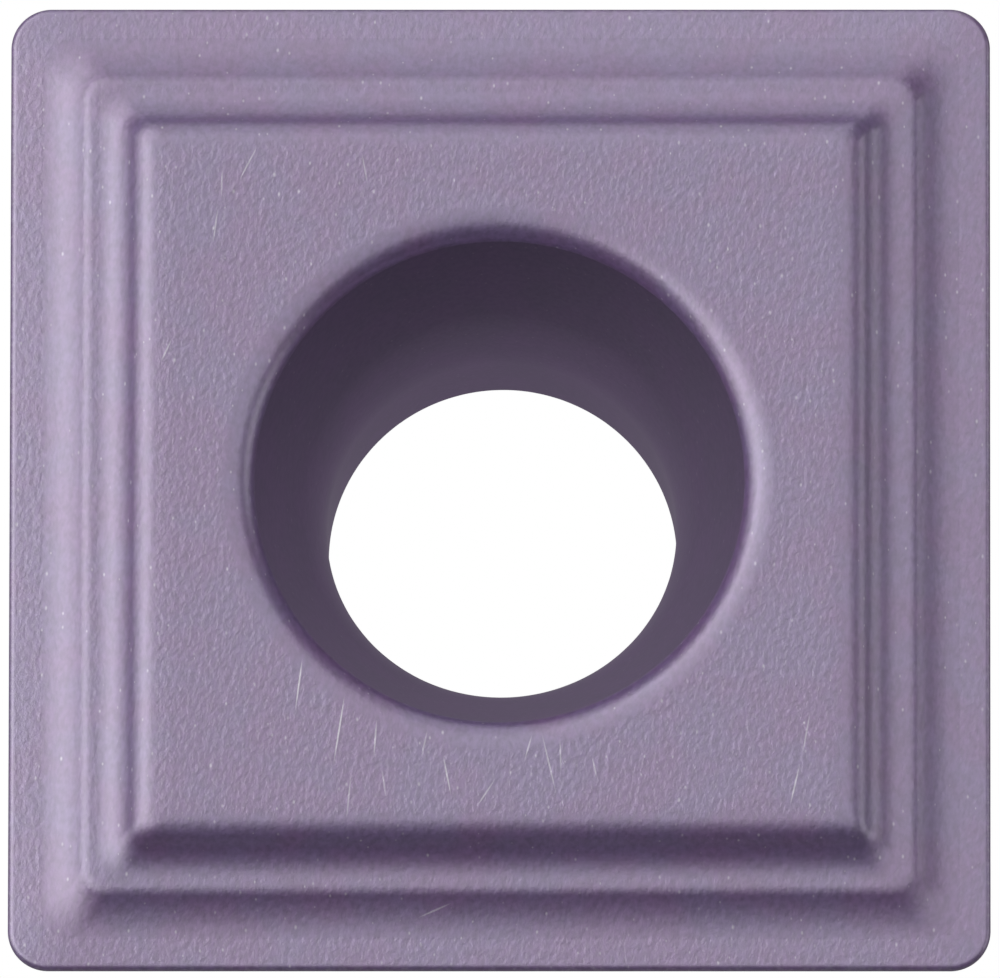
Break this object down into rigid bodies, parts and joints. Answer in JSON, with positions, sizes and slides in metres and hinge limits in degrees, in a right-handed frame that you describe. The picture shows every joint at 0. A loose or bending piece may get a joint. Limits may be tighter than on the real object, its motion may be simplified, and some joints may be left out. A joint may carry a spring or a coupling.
{
  "type": "carbide insert",
  "caption": "Square indexable cutting insert of coated carbide, with leaning flanks, a stepped chip former round a raised plateau and a countersunk screw hole.",
  "frame": {"origin": "middle of the flat seat face, on the axis of the screw hole", "axes": "+Z from the seat face towards the cutting side, +X and +Y square to two neighbouring cutting edges"},
  "size_m": [0.0096, 0.0096, 0.0045],
  "materials": {
    "coated_carbide": "fine matt violet-grey coating on pressed and blasted cemented carbide"
  },
  "bodies": {
    "root": {"insert_body": "coated_carbide"}
  },
  "joints": []
}
